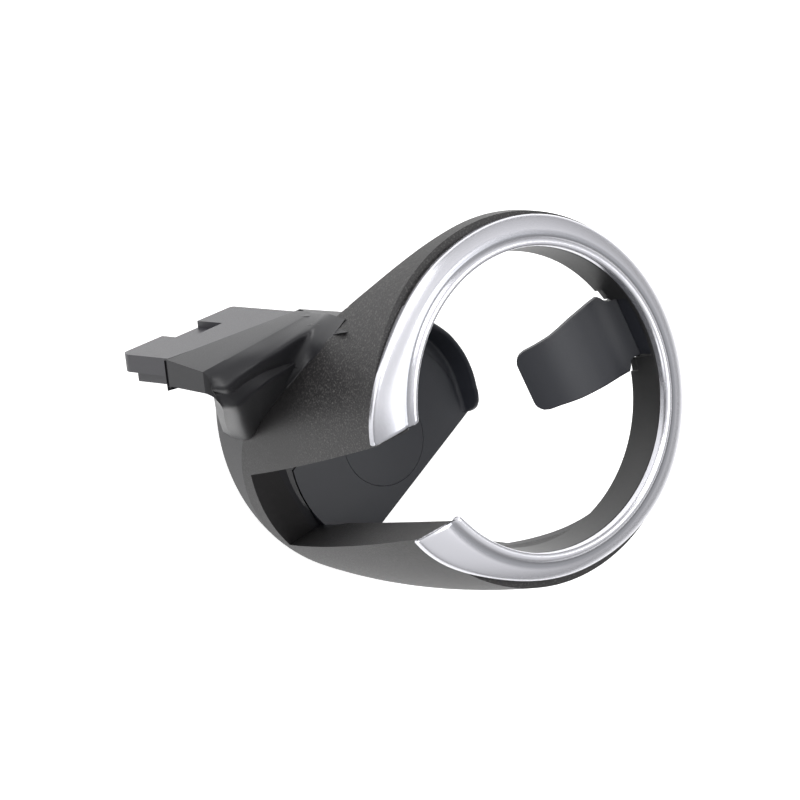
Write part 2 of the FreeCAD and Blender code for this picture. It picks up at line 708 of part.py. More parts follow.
# The neck and its gusset are one form. It runs from the blade's near side to an upright section
# inside the spine's wall, on a chord between two azimuths, and its upper face is hollow.
ACROSS_PLUG = FreeCAD.Rotation(FreeCAD.Vector(1, 1, 1), 120)
CHORD_NEAR = FreeCAD.Vector(size("GussetNearX"), size("GussetNearY"), 0)
CHORD_FAR = FreeCAD.Vector(size("GussetFarX"), size("GussetFarY"), 0)
CHORD_ANGLE = math.degrees(math.atan2(CHORD_FAR.y - CHORD_NEAR.y, CHORD_FAR.x - CHORD_NEAR.x))
CHORD_PLACE = turned(CHORD_ANGLE, CHORD_NEAR).multiply(UPRIGHT)


def across_plug(name, across, corners, arcs):
    """An outline in a plane across the blade, drawn by height out of its face and place along it."""
    place = PLUG.multiply(FreeCAD.Placement(FreeCAD.Vector(across, 0, 0), ACROSS_PLUG))
    return tool_sketch(name, [(str(out), str(along)) for out, along in corners], arcs, place)


def on_chord(name, corners, arcs):
    return tool_sketch(name, [(str(along), str(height)) for along, height in corners], arcs, CHORD_PLACE)


def ruled_form(name, *sections):
    solid = doc.addObject("Part::Loft", name)
    solid.Sections = sections
    solid.Solid = True
    solid.Ruled = True
    return solid


RIDGE_NEAR = size("PlugShort") + size("RidgeShort")
RIDGE_FAR = size("PlugLong") + size("RidgeLong")
NECK_ROOT = size("PlugShort") - NECK_PROUD
neck_slab = ruled_form(
    "neck_slab",
    across_plug(
        "slab_near",
        -NECK_HALF,
        (
            (NECK_LOW, NECK_ROOT),
            (NECK_PROUD, NECK_ROOT),
            (NECK_PROUD, RIDGE_NEAR),
            (NECK_LOW, RIDGE_NEAR - 1),
        ),
        {},
    ),
    across_plug(
        "slab_far",
        NECK_HALF,
        (
            (NECK_LOW, size("PlugLong")),
            (NECK_PROUD, size("PlugLong")),
            (NECK_PROUD, RIDGE_FAR),
            (NECK_LOW, RIDGE_FAR - 24),
        ),
        {},
    ),
)
gusset = ruled_form(
    "gusset",
    across_plug(
        "gusset_near",
        0.2 - NECK_HALF,
        (
            (NECK_LOW + 0.1, RIDGE_NEAR - 5),
            (NECK_PROUD - 0.4, RIDGE_NEAR - 5),
            (NECK_PROUD - 0.4, RIDGE_NEAR - 0.2),
            (NECK_LOW + 0.1, RIDGE_NEAR - 1.2),
        ),
        {2: (str(size("NeckHollowNear")), -1)},
    ),
    on_chord(
        "gusset_far",
        (
            (size("FootAlong"), size("FootHeight") - size("FootDepth")),
            (size("RootAlong"), size("RootHeight")),
            (size("RidgeAlong"), size("RidgeHeight")),
            (size("FootAlong"), size("FootHeight")),
        ),
        {2: (str(size("NeckHollowFar")), -1)},
    ),
)
neck = joined("neck", neck_slab, gusset)

bore_room = doc.addObject("Part::Cylinder", "bore_room")
bore_room.Placement = FreeCAD.Placement(FreeCAD.Vector(0, 0, -size("BoreRadius")), FreeCAD.Rotation())
bind(bore_room, Radius=SHELL_BORE, Height="Sizes.RingTop * 3")
solid_form = revolved(
    "solid_form",
    (
        ("0", "Sizes.RingTop"),
        ("Sizes.ShellTopRadius", "Sizes.RingTop"),
        ("Sizes.ShellTopRadius", SHELL_TOP),
        ("Sizes.ShellBottomRadius", "Sizes.CornerRadius - Sizes.BottomDepth"),
        ("Sizes.ShellBottomRadius - Sizes.CornerRadius", "-Sizes.BottomDepth"),
        ("0", "-Sizes.BottomDepth"),
    ),
    {2: ("Sizes.SideRadius", -1), 3: ("Sizes.CornerRadius", -1)},
)
front_envelope = shared("front_envelope", solid_form, front_region)
far_stop = doc.addObject("Part::Box", "far_stop")
bind(far_stop, Length="Sizes.PlugWidth", Width="Sizes.PlugWidth * 1.5", Height="Sizes.RingTop")
far_corner = FreeCAD.Vector(NECK_HALF - 0.1, -size("PlugWidth"), -size("PlugShort"))
far_stop.Placement = PLUG.multiply(FreeCAD.Placement(far_corner, FreeCAD.Rotation()))
neck_trimmed = less(
    "neck_trimmed",
    neck,
    joined("neck_stops", front_envelope, bore_room, far_stop),
)

# The gusset is hollow behind the tongue's pocket, and opens into the spine.
neck_hollow = ruled_form(
    "neck_hollow",
    across_plug(
        "hollow_near",
        0,
        (
            (NECK_LOW + 2.5, RIDGE_NEAR - 9),
            (NECK_PROUD - 3, RIDGE_NEAR - 5),
            (NECK_PROUD - 3, RIDGE_NEAR + 1),
            (NECK_LOW + 2.5, RIDGE_NEAR - 6),
        ),
        {},
    ),
    on_chord(
        "hollow_far",
        (
            (size("FootAlong") + 13, size("FootHeight") + 9),
            (size("RootAlong") - 4, size("RootHeight")),
            (size("RidgeAlong") - 3, size("RidgeHeight") - 22),
            (size("FootAlong") + 13, size("FootHeight") + 12),
        ),
        {},
    ),
)
column_room = extruded(
    "column_room",
    (
        ("Sizes.ColumnStart + Sizes.ShellWall", "Sizes.ShellWall - Sizes.BottomDepth"),
        (FAR, "Sizes.ShellWall - Sizes.BottomDepth"),
        (FAR, "Sizes.RingTop"),
        ("Sizes.ColumnStart + Sizes.ShellWall", "Sizes.RingTop"),
    ),
    {},
    SPINE_PLANE,
    "Sizes.ShellBottomRadius * 4",
)
column_hollow = shared("column_hollow", hollow, column_room)

# The lower plate of the blade carries the load with a tongue that sits in a pocket of the neck.
ROOT_SLOPE = "(Sizes.PlugLong - Sizes.PlugShort) / Sizes.PlugWidth"


def root_line(across, gap="Sizes.SeamGap"):
    """How far along the blade its slanted root is."""
    return f"(Sizes.PlugLong + Sizes.PlugShort) / 2 + ({across}) * {ROOT_SLOPE} - {gap}"


def plug_piece(name, corners, arcs, top, thick):
    """A plate of the blade, drawn in its own plane and thickened down from a height."""
    high = float(sheet.evalExpression(top.replace("Sizes.", "")))
    place = PLUG.multiply(
        FreeCAD.Placement(FreeCAD.Vector(0, high, 0), FreeCAD.Rotation(FreeCAD.Vector(1, 0, 0), 90))
    )
    return extruded(name, corners, arcs, place, thick, False)


HALF = "Sizes.PlugWidth / 2"
TONGUE = "Sizes.TongueHalf"
cover_blank = plug_piece(
    "cover_blank",
    (
        (f"2.6 - {HALF}", "-0.9"),
        (f"{HALF} - 1.2", "0"),
        (HALF, "1.2"),
        (HALF, root_line(HALF)),
        (f"-{HALF}", root_line(f"-{HALF}")),
        (f"-{HALF}", "1.7"),
    ),
    {1: ("1.2", 1), 5: ("2.6", 1)},
    "0",
    "Sizes.PlugCoverThick",
)
notch = plug_piece(
    "notch",
    (
        ("-Sizes.NotchWidth / 2 + 0.75", "-2"),
        ("Sizes.NotchWidth / 2 + 0.75", "-2"),
        ("Sizes.NotchWidth / 2 + 0.75", "Sizes.NotchLength"),
        ("-Sizes.NotchWidth / 2 + 0.75", "Sizes.NotchLength"),
    ),
    {},
    "2",
    "Sizes.NotchDepth + 2",
)
base_blank = plug_piece(
    "base_blank",
    (
        (f"1.5 - {HALF}", "2.5"),
        (f"{HALF} - 1", "2.5"),
        (f"{HALF} - 1", root_line(f"{HALF} - 1")),
        (TONGUE, root_line(TONGUE)),
        (TONGUE, root_line("0", "-8")),
        (f"-{TONGUE}", root_line("0", "-3")),
        (f"-{TONGUE}", root_line(f"-{TONGUE}")),
        (f"1.5 - {HALF}", root_line(f"1.5 - {HALF}")),
    ),
    {},
    "-Sizes.PlugCoverThick",
    "Sizes.PlugBaseThick",
)
tongue_room = plug_piece(
    "tongue_room",
    (
        (f"-{TONGUE} - 0.1", "Sizes.PlugShort - 4"),
        (f"{TONGUE} + 0.1", "Sizes.PlugShort"),
        (f"{TONGUE} + 0.1", root_line("0", "-8.2")),
        (f"-{TONGUE} - 0.1", root_line("0", "-3.2")),
    ),
    {},
    "-Sizes.PlugCoverThick + 0.05",
    "Sizes.PlugBaseThick + 0.1",
)
blade_room = plug_piece(
    "blade_room",
    (
        (f"-{HALF} - 0.3", "-2"),
        (f"{HALF} + 0.3", "-2"),
        (f"{HALF} + 0.3", root_line(f"{HALF} + 0.3", "0")),
        (f"-{HALF} - 0.3", root_line(f"-{HALF} - 0.3", "0")),
    ),
    {},
    "1",
    f"{BLADE_THICK} + 1.15",
)
plug_screws, plug_screw_rooms = screws(
    "plug_screws",
    [
        PLUG.multiply(
            FreeCAD.Placement(
                FreeCAD.Vector(across, 1.3 - size("PlugCoverThick") - size("PlugBaseThick"), along),
                FreeCAD.Rotation(FreeCAD.Vector(1, 0, 0), -90),
            )
        )
        for across, along in ((-14, 9), (15, 12))
    ],
    "1.1",
    "Sizes.PlugCoverThick",
)
plug_cover = less("plug_cover", cover_blank, joined("cover_cuts", notch, *plug_screw_rooms))
plug_cover.Label = "plug_cover"
plug_base = less("plug_base", base_blank, joined("base_cuts", *plug_screw_rooms))
plug_base.Label = "plug_base"

# The floor stands on a tray of the rear shell, and three sunk screws under its pad hold it there.
column_side = joined("column_side", band_region, keel_below)
rear_band = shared("rear_band", cover_form, band_region)
rear_column = shared("rear_column", outer_form, shared("column_band", column_region, column_side))
tray_place = turned(
    size("FloorAzimuth"),
    (size("FloorCentreAcross"), size("FloorCentreSide"), -size("BottomDepth")),
)
tray = extruded(
    "tray",
    *petal("Sizes.FloorRadius - 1.5", "Sizes.FloorHalfWidth - 1.5"),
    tray_place,
    "Sizes.BottomDepth - Sizes.FloorThick - 0.02",
    False,
)
WEB_RADIUS = "Sizes.BoreRadius + 2"
web_disc = extruded(
    "web_disc",
    (("0", f"-({WEB_RADIUS})"), (WEB_RADIUS, "0"), ("0", WEB_RADIUS), (f"-({WEB_RADIUS})", "0")),
    {quarter: (WEB_RADIUS, 1) for quarter in range(4)},
    FreeCAD.Placement(FreeCAD.Vector(0, 0, -size("BottomDepth")), FreeCAD.Rotation()),
    "Sizes.BottomDepth + Sizes.WebTop",
    False,
)
web_strip = extruded(
    "web_strip",
    (
        ("-Sizes.FloorRadius * 1.6", "-Sizes.FloorHalfWidth + 0.4"),
        ("-Sizes.FloorRadius / 2", "-Sizes.FloorHalfWidth + 0.4"),
        ("-Sizes.FloorRadius / 2", "Sizes.FloorHalfWidth + 6"),
        ("-Sizes.FloorRadius * 1.6", "Sizes.FloorHalfWidth + 6"),
    ),
    {},
    tray_place,
    "Sizes.BottomDepth * 2",
    False,
)
web = shared("web", web_strip, web_disc)
floor_screws, floor_screw_rooms = screws(
    "floor_screws",
    [
        FLOOR_PLACE.multiply(turned(azimuth)).multiply(
            FreeCAD.Placement(
                FreeCAD.Vector(8, 0, -size("PadDepth") - 0.9),
                FreeCAD.Rotation(FreeCAD.Vector(1, 0, 0), 180),
            )
        )
        for azimuth in (90, 210, 330)
    ],
    "0.9",
    "Sizes.ScrewLength - 1",
    True,
)
rear_raw = joined("rear_raw", neck_trimmed, rear_band, rear_column, tray, web)
rear_cuts = joined(
    "rear_cuts",
    slot,
    petal_room,
    flap_well,
    column_hollow,
    neck_hollow,
    tongue_room,
    blade_room,
    *shell_screw_rooms,
    *floor_screw_rooms,
)
rear_shell = less("rear_shell", rear_raw, rear_cuts)
rear_shell.Label = "rear_shell"

floor_blank = extruded(
    "floor_blank",
    *petal("Sizes.FloorRadius", "Sizes.FloorHalfWidth"),
    FLOOR_PLACE,
    "-Sizes.FloorThick",
    False,
)
LIP_INNER = "(Sizes.FloorRadius - 1.8)"
LIP_END = "(Sizes.FloorHalfWidth - 0.6)"
lip = extruded(
    "lip",
    (
        (f"sqrt(Sizes.FloorRadius^2 - {LIP_END}^2)", f"-{LIP_END}"),
        (f"sqrt(Sizes.FloorRadius^2 - {LIP_END}^2)", LIP_END),
        (f"sqrt({LIP_INNER}^2 - {LIP_END}^2)", LIP_END),
        (f"sqrt({LIP_INNER}^2 - {LIP_END}^2)", f"-{LIP_END}"),
    ),
    {0: ("Sizes.FloorRadius", 1), 2: (LIP_INNER, -1)},
    FLOOR_PLACE,
    "Sizes.LipHeight",
    False,
)


def pad_disc(name, radius, height, depth):
    """A disc about the floor's centre, down from a height."""
    disc = doc.addObject("Part::Cylinder", name)
    bind(disc, Radius=radius, Height=depth)
    low = float(sheet.evalExpression(f"{height} - ({depth})".replace("Sizes.", "")))
    disc.Placement = FLOOR_PLACE.multiply(
        FreeCAD.Placement(FreeCAD.Vector(0, 0, low), FreeCAD.Rotation())
    )
    return disc


pad_room = pad_disc("pad_room", "Sizes.PadRadius + 0.12", "2", "Sizes.PadDepth + 2")
floor_plate = less(
    "floor_plate",
    joined("floor_with_lip", floor_blank, lip),
    joined("floor_cuts", pad_room, *floor_screw_rooms),
)
floor_plate.Label = "floor_plate"
floor_pad = pad_disc("floor_pad", "Sizes.PadRadius", "0", "Sizes.PadDepth")
floor_pad.Label = "floor_pad"

# The flap is one bent plate. Its tab hangs from the pin in the bore wall and its panel juts inward.
cup_flap = body("cup_flap", flap_place)
TAB_FACE = "(Sizes.BoreRadius + 0.2)"
BEND = "3.4"
PANEL_TOP = "(Sizes.PinHeight - 6.3)"
PANEL_OUT = f"({TAB_FACE} - {BEND})"
TIP_OUT = "(Sizes.BoreRadius - Sizes.FlapReach)"
TIP_BEND = "10.4"
TIP_ANGLE = "60"
bend_start = f"({TIP_OUT} + {TIP_BEND} * sin({TIP_ANGLE}))"
flap_side = profile(
    cup_flap,
    "flap_side",
    "XZ_Plane",
    (
        (TAB_FACE, "Sizes.PinHeight + 1.7"),
        (TAB_FACE, f"{PANEL_TOP} + {BEND}"),
        (PANEL_OUT, PANEL_TOP),
        (bend_start, PANEL_TOP),
        (TIP_OUT, f"{PANEL_TOP} - {TIP_BEND} * (1 - cos({TIP_ANGLE}))"),
        (
            f"{TIP_OUT} + Sizes.FlapThick * sin({TIP_ANGLE})",
            f"{PANEL_TOP} - {TIP_BEND} * (1 - cos({TIP_ANGLE})) - Sizes.FlapThick * cos({TIP_ANGLE})",
        ),
        (bend_start, f"{PANEL_TOP} - Sizes.FlapThick"),
        (PANEL_OUT, f"{PANEL_TOP} - Sizes.FlapThick"),
        (f"{TAB_FACE} + Sizes.FlapThick", f"{PANEL_TOP} + {BEND}"),
        (f"{TAB_FACE} + Sizes.FlapThick", "Sizes.PinHeight + 1.7"),
    ),
    {
        1: (BEND, -1),
        3: (TIP_BEND, 1),
        5: (f"{TIP_BEND} - Sizes.FlapThick", -1),
        7: (f"{BEND} + Sizes.FlapThick", 1),
    },
)
padded(cup_flap, "flap_plate", flap_side, "Sizes.FlapRootHalf * 2", midplane=True)
barrel_side = cup_flap.newObject("Sketcher::SketchObject", "barrel_side")
barrel_side.AttachmentSupport = (plane_of(cup_flap, "XZ_Plane"), "")
barrel_side.MapMode = "FlatFace"
doc.recompute()
circle(barrel_side, "Sizes.PinAcross", "Sizes.PinHeight", "Sizes.PinRadius + 0.7")
padded(cup_flap, "flap_barrel", barrel_side, "Sizes.FlapTabHalf * 2 - 0.4", midplane=True)
for sign, side in (("", "left"), ("-", "right")):
    edge_cut = profile(
        cup_flap,
        f"flap_edge_{side}_outline",
        "XY_Plane",
        (
            ("Sizes.PinAcross + 5", f"{sign}(Sizes.FlapTabHalf)"),
            ("Sizes.BoreRadius - 1.4", f"{sign}(Sizes.FlapTabHalf)"),
            ("Sizes.BoreRadius - 4.2", f"{sign}(Sizes.FlapRootHalf)"),
            (f"{TIP_OUT} + 2.6", f"{sign}(Sizes.FlapTipHalf + 0.4)"),
            (f"{TIP_OUT} - 0.3", f"{sign}(Sizes.FlapTipHalf - 2)"),
            (f"{TIP_OUT} - 3", f"{sign}(Sizes.FlapTipHalf - 2)"),
            (f"{TIP_OUT} - 3", f"{sign}(Sizes.FlapRootHalf + 3)"),
            ("Sizes.PinAcross + 5", f"{sign}(Sizes.FlapRootHalf + 3)"),
        ),
        {3: ("2.9", 1 if sign == "" else -1)},
    )
    cutter = cup_flap.newObject("PartDesign::Pocket", f"flap_edge_{side}")
    cutter.Profile = edge_cut
    cutter.Midplane = True
    bind(cutter, Length="Sizes.RingTop * 3")
pin_bore = cup_flap.newObject("Sketcher::SketchObject", "pin_bore_outline")
pin_bore.AttachmentSupport = (plane_of(cup_flap, "XZ_Plane"), "")
pin_bore.MapMode = "FlatFace"
doc.recompute()
circle(pin_bore, "Sizes.PinAcross", "Sizes.PinHeight", "Sizes.PinRadius + 0.05")
SPRING_BACK = "Sizes.PinAcross - Sizes.SpringRadius - Sizes.SpringWire / 2 - 0.05"
spring_gap = profile(
    cup_flap,
    "spring_gap_outline",
    "XZ_Plane",
    (
        (SPRING_BACK, "Sizes.PinHeight - 3.4"),
        ("Sizes.PinAcross + 4", "Sizes.PinHeight - 3.4"),
        ("Sizes.PinAcross + 4", "Sizes.PinHeight + 4"),
        (SPRING_BACK, "Sizes.PinHeight + 4"),
    ),
)
for name, outline, length in (
    ("pin_bore", pin_bore, "Sizes.FlapRootHalf * 3"),
    ("spring_gap", spring_gap, "Sizes.SpringLength + Sizes.SpringWire + 0.2"),
):
    cutter = cup_flap.newObject("PartDesign::Pocket", name)
    cutter.Profile = outline
    cutter.Midplane = True
    bind(cutter, Length=length)

flap_pin = pin_cylinder("flap_pin", "Sizes.PinRadius", "Sizes.PinLength")
flap_pin.Label = "flap_pin"

# The torsion spring coils about the pin. One leg lies on the tab's back, the other under the well's roof.
SPRING_FROM = 100
SPRING_TURNS = 3 + (180 - SPRING_FROM) / 360
spring_middle = FreeCAD.Vector(size("PinAcross"), size("SpringLength") / 2, size("PinHeight"))
spring_place = flap_place.multiply(FreeCAD.Placement(spring_middle, UPRIGHT.Rotation))
coil_place = spring_place.multiply(turned(SPRING_FROM))
coil_line = doc.addObject("Part::Helix", "coil_line")
coil_line.Placement = coil_place
bind(
    coil_line,
    Radius="Sizes.SpringRadius",
    Height="Sizes.SpringLength",
    Pitch=f"Sizes.SpringLength / {SPRING_TURNS}",
)
wire = doc.addObject("Sketcher::SketchObject", "wire")
doc.recompute()
draw(
    wire,
    [
        (
            f"Sizes.SpringRadius + Sizes.SpringWire / 2 * cos({turn})",
            f"Sizes.SpringWire / 2 * sin({turn})",
        )
        for turn in range(0, 360, 60)
    ],
)
wire.Placement = coil_place.multiply(UPRIGHT)
coil = doc.addObject("Part::Sweep", "coil")
coil.Sections = [wire]
coil.Spine = (coil_line, ["Edge1"])
coil.Solid = True
coil.Frenet = True
legs = []
for name, angle, heading, height, length in (
    ("roof_leg", SPRING_FROM, SPRING_FROM - 90, 0, "2.6"),
    ("tab_leg", 180, 270, size("SpringLength"), "3"),
):
    leg = doc.addObject("Part::Cylinder", name)
    bind(leg, Radius="Sizes.SpringWire / 2", Height=length)
    out = size("SpringRadius")
    start = FreeCAD.Vector(
        out * math.cos(math.radians(angle)) - 0.2 * math.cos(math.radians(heading)),
        out * math.sin(math.radians(angle)) - 0.2 * math.sin(math.radians(heading)),
        height,
    )
    aim = turned(heading).multiply(
        FreeCAD.Placement(FreeCAD.Vector(), FreeCAD.Rotation(FreeCAD.Vector(0, 1, 0), 90))
    )
    leg.Placement = spring_place.multiply(FreeCAD.Placement(start, aim.Rotation))
    legs.append(leg)
flap_spring = joined("flap_spring", coil, *legs)
flap_spring.Label = "flap_spring"

doc.recompute()
broken = [item.Name for item in doc.Objects if {"Invalid", "Error"} & set(item.State)]
if broken:
    raise RuntimeError(f"objects that failed: {broken}")
os.makedirs("parts", exist_ok=True)
for piece in (
    front_shell,
    rear_shell,
    trim_ring,
    bore_liner,
    floor_plate,
    floor_pad,
    cup_flap,
    flap_pin,
    flap_spring,
    plug_cover,
    plug_base,
    plug_screws,
    shell_screws,
    floor_screws,
):
    shape = piece.Shape
    if shape.isNull() or not shape.isValid():
        raise RuntimeError(f"bad shape: {piece.Label}")
    shape.exportStep(f"parts/{piece.Label}.step")
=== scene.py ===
import json
import math

import bmesh
import bpy
from mathutils import Matrix, Vector
from mathutils.bvhtree import BVHTree


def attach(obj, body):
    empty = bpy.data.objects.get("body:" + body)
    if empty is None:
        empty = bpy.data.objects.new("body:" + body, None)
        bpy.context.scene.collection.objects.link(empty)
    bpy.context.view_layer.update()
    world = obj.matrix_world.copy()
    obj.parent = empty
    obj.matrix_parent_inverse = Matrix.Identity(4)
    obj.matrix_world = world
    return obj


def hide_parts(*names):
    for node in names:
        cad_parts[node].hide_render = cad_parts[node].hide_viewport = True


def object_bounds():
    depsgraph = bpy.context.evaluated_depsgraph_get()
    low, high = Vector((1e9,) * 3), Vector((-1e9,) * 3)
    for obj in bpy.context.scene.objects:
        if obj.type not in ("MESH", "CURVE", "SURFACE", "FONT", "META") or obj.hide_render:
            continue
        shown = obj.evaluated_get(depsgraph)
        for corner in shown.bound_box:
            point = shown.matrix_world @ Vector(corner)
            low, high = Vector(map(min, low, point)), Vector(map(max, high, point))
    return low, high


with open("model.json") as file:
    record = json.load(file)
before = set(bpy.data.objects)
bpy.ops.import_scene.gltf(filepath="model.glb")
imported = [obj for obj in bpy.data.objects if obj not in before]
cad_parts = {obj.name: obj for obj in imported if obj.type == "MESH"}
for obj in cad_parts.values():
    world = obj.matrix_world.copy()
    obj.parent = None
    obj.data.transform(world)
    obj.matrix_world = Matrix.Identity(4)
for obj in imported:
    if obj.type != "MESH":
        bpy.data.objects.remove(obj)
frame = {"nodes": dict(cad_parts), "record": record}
cad_box = [list(corner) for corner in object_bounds()]

MM = 0.001
FLOOR_HEIGHT = min(cad_box[0][2], cad_box[1][2])


# The camera of the photograph
CAMERA_AT = Vector((-240.8, 133.3, 448.6)) * MM
CAMERA_RIGHT = Vector((0.7417, -0.4111, 0.530))
CAMERA_UP = Vector((0.4848, 0.8746, 0.0))
CAMERA_BACK = Vector((-0.4635, 0.2569, 0.848))


# Materials


def material(name, build, **socket_values):
    """A node material. build adds what feeds the shader, and socket_values are set on the shader."""
    made = bpy.data.materials.new(name)
    made.use_nodes = True
    nodes = made.node_tree.nodes
    shader = nodes["Principled BSDF"]
    for socket, value in socket_values.items():
        shader.inputs[socket.replace("_", " ")].default_value = value
    build(made.node_tree, shader)
    return made


def add(tree, kind, **settings):
    """Adds a node, sets its attributes, and sets inputs whose names are given in capitals."""
    node = tree.nodes.new(kind)
    for key, value in settings.items():
        if key[0].isupper():
            node.inputs[key.replace("_", " ")].default_value = value
        else:
            setattr(node, key, value)
    return node


def link(tree, source, target):
    tree.links.new(source, target)


def where(tree):
    """The point on the object, in metres of the row's own frame."""
    return add(tree, "ShaderNodeTexCoord").outputs["Object"]


def noise(tree, scale, detail=2.0, roughness=0.5):
    texture = add(tree, "ShaderNodeTexNoise", Scale=scale, Detail=detail, Roughness=roughness)
    link(tree, where(tree), texture.inputs["Vector"])
    return texture.outputs["Fac"]


def spread(tree, value, low, high, start=0.0, end=1.0, ease="LINEAR"):
    """Maps a value from one range onto another."""
    ranged = add(tree, "ShaderNodeMapRange", interpolation_type=ease)
    for socket, number in (("From Min", start), ("From Max", end), ("To Min", low), ("To Max", high)):
        ranged.inputs[socket].default_value = number
    link(tree, value, ranged.inputs["Value"])
    return ranged.outputs["Result"]


def mixed(tree, factor, dark, light):
    """A colour between two, by a factor."""
    mix = add(tree, "ShaderNodeMix", data_type="RGBA")
    link(tree, factor, mix.inputs["Factor"])
    mix.inputs["A"].default_value = (*dark, 1)
    mix.inputs["B"].default_value = (*light, 1)
    return mix.outputs["Result"]


def bump(tree, shader, height, strength, distance):
    bumped = add(tree, "ShaderNodeBump", Strength=strength, Distance=distance)
    link(tree, height, bumped.inputs["Height"])
    link(tree, bumped.outputs["Normal"], shader.inputs["Normal"])


def plastic(dark, light, grain, depth, rough_low, rough_high, crest_glint=None):
    """Moulded plastic with a surface grain of a given size in metres, and lighter specks on the grain's crests where
    the grain is coarse, which are a painted glint.
    """

    def build(tree, shader):
        fine = noise(tree, 1 / grain, 3.0, 0.6)
        cloud = noise(tree, 60.0, 2.0)
        colour = mixed(tree, cloud, dark, light)
        height = fine
        if crest_glint:
            split = add(tree, "ShaderNodeSeparateXYZ")
            link(tree, where(tree), split.inputs[0])
            coarse = spread(tree, split.outputs["Z"], 0.12, 1.0, 0.022, 0.052, "SMOOTHSTEP")
            # painted glint: the crests of the coarse grain take the lighter speck colour
            crest = spread(tree, fine, 0.0, 1.0, 0.5, 0.72)
            amount = add(tree, "ShaderNodeMath", operation="MULTIPLY")
            link(tree, coarse, amount.inputs[0])
            link(tree, crest, amount.inputs[1])
            mix = add(tree, "ShaderNodeMix", data_type="RGBA")
            link(tree, amount.outputs[0], mix.inputs["Factor"])
            link(tree, colour, mix.inputs["A"])
            mix.inputs["B"].default_value = (*crest_glint, 1)
            colour = mix.outputs["Result"]
            raised = add(tree, "ShaderNodeMath", operation="MULTIPLY")
            link(tree, coarse, raised.inputs[0])
            link(tree, fine, raised.inputs[1])
            height = raised.outputs[0]
        link(tree, colour, shader.inputs["Base Color"])
        link(tree, spread(tree, fine, rough_low, rough_high, 0.3, 0.7), shader.inputs["Roughness"])
        bump(tree, shader, height, 1.0, depth)

    return build


def silver_paint(tree, shader):
    """Silver lacquer. The hollow beside the bead is darkened with painted shade, and towards the slot's upper end the
    band is darkened with a painted dark reflection.
    """
    flakes = noise(tree, 9000.0, 1.0)
    paint = mixed(tree, flakes, (0.6, 0.6, 0.645), (0.7, 0.7, 0.745))
    split = add(tree, "ShaderNodeSeparateXYZ")
    link(tree, where(tree), split.inputs[0])
    flat = add(tree, "ShaderNodeCombineXYZ")
    link(tree, split.outputs["X"], flat.inputs["X"])
    link(tree, split.outputs["Y"], flat.inputs["Y"])
    out = add(tree, "ShaderNodeVectorMath", operation="LENGTH")
    link(tree, flat.outputs[0], out.inputs[0])
    off = add(tree, "ShaderNodeMath", operation="SUBTRACT")
    link(tree, out.outputs["Value"], off.inputs[0])
    off.inputs[1].default_value = 42.35 * MM
    away = add(tree, "ShaderNodeMath", operation="ABSOLUTE")
    link(tree, off.outputs[0], away.inputs[0])
    # painted shade: the silver is darkened towards grey in the groove beside the bead
    groove_painted_shade = spread(tree, away.outputs[0], 0.8, 0.0, 0.25 * MM, 1.5 * MM, "SMOOTHSTEP")
    # painted dark reflection: near the slot's upper end the band is darkened towards grey
    past = spread(tree, split.outputs["X"], 1.0, 0.0, -0.04, -0.03, "SMOOTHSTEP")
    near_end = spread(tree, split.outputs["Y"], 0.6, 0.0, 0.014, 0.025, "SMOOTHSTEP")
    above = spread(tree, split.outputs["Y"], 0.0, 1.0, -0.001, 0.001)
    slot_end_painted_reflection = add(tree, "ShaderNodeMath", operation="MULTIPLY")
    link(tree, past, slot_end_painted_reflection.inputs[0])
    link(tree, near_end, slot_end_painted_reflection.inputs[1])
    upper = add(tree, "ShaderNodeMath", operation="MULTIPLY")
    link(tree, slot_end_painted_reflection.outputs[0], upper.inputs[0])
    link(tree, above, upper.inputs[1])
    shade = add(tree, "ShaderNodeMath", operation="MAXIMUM")
    link(tree, groove_painted_shade, shade.inputs[0])
    link(tree, upper.outputs[0], shade.inputs[1])
    # the painted shade and the painted dark reflection both mix the silver towards this dark grey
    mix = add(tree, "ShaderNodeMix", data_type="RGBA")
    link(tree, shade.outputs[0], mix.inputs["Factor"])
    link(tree, paint, mix.inputs["A"])
    mix.inputs["B"].default_value = (0.2, 0.205, 0.225, 1)
    link(tree, mix.outputs["Result"], shader.inputs["Base Color"])
    bump(tree, shader, flakes, 0.25, 0.00001)


def bright_steel(tree, shader):
    streaks = noise(tree, 1500.0, 2.0)
    link(tree, spread(tree, streaks, 0.22, 0.38, 0.3, 0.7), shader.inputs["Roughness"])


MATERIALS = {
    "silver": material("silver_paint", silver_paint, Metallic=0.8, Roughness=0.27, Coat_Weight=0.2, Coat_Roughness=0.12),
    "grained": material(
        "grained_black",
        # the last colour is the painted glint on the grain's crests
        plastic(
            (0.011, 0.0105, 0.011), (0.016, 0.015, 0.016), 0.0005, 0.00012, 0.42, 0.58, (0.085, 0.082, 0.08)
        ),
        Specular_IOR_Level=0.4,
    ),
    "smooth": material(
        "smooth_black",
        plastic((0.014, 0.014, 0.016), (0.02, 0.02, 0.023), 0.0002, 0.000006, 0.36, 0.46),
        Specular_IOR_Level=0.45,
    ),
    "liner": material(
        "liner_black",
        plastic((0.01, 0.01, 0.0105), (0.014, 0.014, 0.0145), 0.0002, 0.000006, 0.4, 0.5),
    ),
    "floor": material(
        "blue_black",
        plastic((0.011, 0.012, 0.017), (0.015, 0.017, 0.024), 0.0002, 0.000008, 0.42, 0.52),
    ),
    "blade": material(
        "blade_grey",
        plastic((0.026, 0.0255, 0.03), (0.036, 0.035, 0.041), 0.0002, 0.000008, 0.36, 0.46),
    ),
    "steel": material("bright_steel", bright_steel, Metallic=1.0, Base_Color=(0.6, 0.6, 0.62, 1)),
}
slot_of = {part["node"]: part["material_slot"] for part in frame["record"]["subparts"]}


# Shapes


